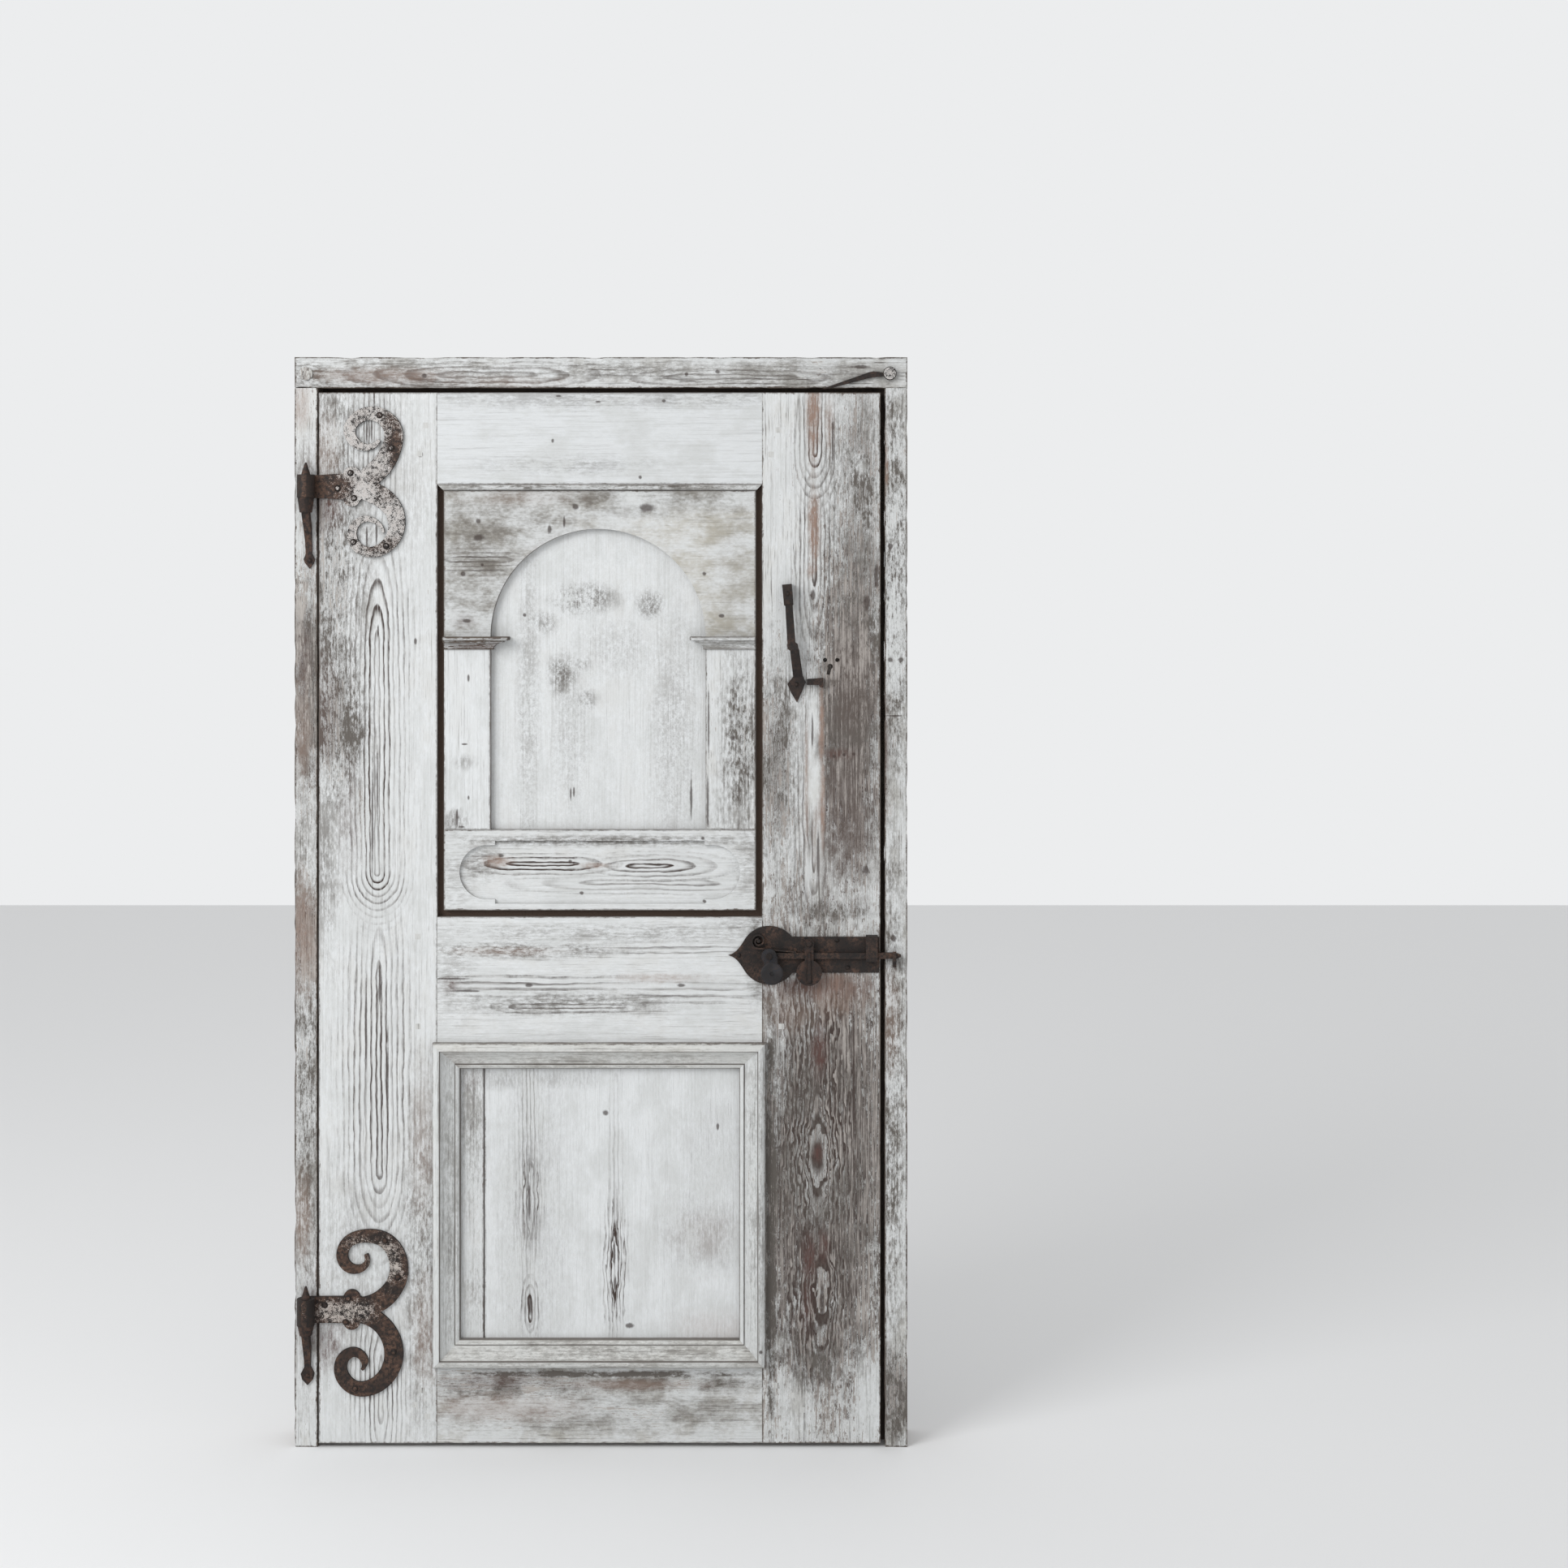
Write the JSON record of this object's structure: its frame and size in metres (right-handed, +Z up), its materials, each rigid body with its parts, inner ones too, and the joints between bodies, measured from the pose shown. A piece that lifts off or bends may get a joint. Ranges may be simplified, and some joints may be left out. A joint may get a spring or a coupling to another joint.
{
  "type": "arched wooden door",
  "caption": "Old limewashed pine door in its frame: a blind arch over a moulded panel, scrolled strap hinges on pintles, a drop latch and a turning hook.",
  "frame": {"origin": "at floor level, in the middle of the frame's width, on the middle plane of the leaf; the frame's back and the latch's knob are equally far from it, so it is also the bottom centre of the whole", "axes": "+Z up; +X towards the lock side, to the right of someone facing the ironwork; +Y into the wall, away from the ironwork"},
  "size_m": [1.05, 0.136, 1.868],
  "materials": {
    "leaf_pine": "limewash worn thin over weathered pine, with brown grain lines and grey bare patches",
    "frame_pine": "rough limewash over grey-brown weathered pine",
    "hinge_iron": "forged iron, rusted, with limewash left on it",
    "dark_iron": "forged iron, dark brown with fine rust, matt"
  },
  "bodies": {
    "frame": {"left_jamb": "frame_pine", "right_jamb": "frame_pine", "header": "frame_pine", "left_stop": "frame_pine", "right_stop": "frame_pine", "head_stop": "frame_pine", "frame_peg": "frame_pine", "hook_stud": "hinge_iron", "upper_pintle": "hinge_iron", "lower_pintle": "hinge_iron", "pintle_nails": "hinge_iron", "latch_keeper": "dark_iron"},
    "leaf": {"hinge_stile": "leaf_pine", "lock_stile": "leaf_pine", "top_rail": "leaf_pine", "lock_rail": "leaf_pine", "bottom_rail": "leaf_pine", "tenon_pegs": "leaf_pine", "niche_board": "leaf_pine", "spandrel": "leaf_pine", "left_pilaster": "leaf_pine", "right_pilaster": "leaf_pine", "left_impost": "leaf_pine", "right_impost": "leaf_pine", "base_board": "leaf_pine", "top_bead": "leaf_pine", "narrow_panel_board": "leaf_pine", "wide_panel_board": "leaf_pine", "panel_moulding_top": "leaf_pine", "panel_moulding_bottom": "leaf_pine", "panel_moulding_left": "leaf_pine", "panel_moulding_right": "leaf_pine", "upper_strap": "hinge_iron", "lower_strap": "hinge_iron", "strap_nails": "hinge_iron", "latch_plate": "dark_iron", "latch_plate_nails": "dark_iron", "spring_stud": "dark_iron", "guide_staple": "dark_iron", "cover_rivet": "dark_iron", "pull_handle": "dark_iron", "handle_nails": "dark_iron", "handle_stub": "dark_iron", "lock_case": "dark_iron", "latch_spring": "dark_iron"},
    "latch": {"latch_bar": "dark_iron", "latch_spindle": "dark_iron", "spindle_washer": "dark_iron", "latch_knob": "dark_iron"},
    "cover": {"keyhole_cover": "dark_iron"},
    "hook": {"top_hook": "dark_iron"},
    "bolt": {"lock_bolt": "dark_iron"}
  },
  "joints": [
    {"name": "leaf_swing", "type": "hinge", "parent": "frame", "child": "leaf", "pos_m": [-0.502, -0.034, 0.9], "axis": [0, 0, -1], "range_deg": [0, 170]},
    {"name": "latch_lift", "type": "hinge", "parent": "leaf", "child": "latch", "pos_m": [0.2885, -0.025, 0.8435], "axis": [0, -1, 0], "range_deg": [0, 6.5], "stiffness_Nm_per_rad": 1.2, "springref_deg": -6.88, "deforming": ["latch_spring"]},
    {"name": "cover_swing", "type": "hinge", "parent": "leaf", "child": "cover", "pos_m": [0.357, -0.031, 0.865], "axis": [0, -1, 0], "range_deg": [-20, 90]},
    {"name": "hook_turn", "type": "hinge", "parent": "frame", "child": "hook", "pos_m": [0.495, -0.02, 1.8395], "axis": [0, -1, 0], "range_deg": [-20, 80]},
    {"name": "bolt_throw", "type": "slide", "parent": "leaf", "child": "bolt", "axis": [1, 0, 0], "range_m": [0, 0.018]}
  ]
}
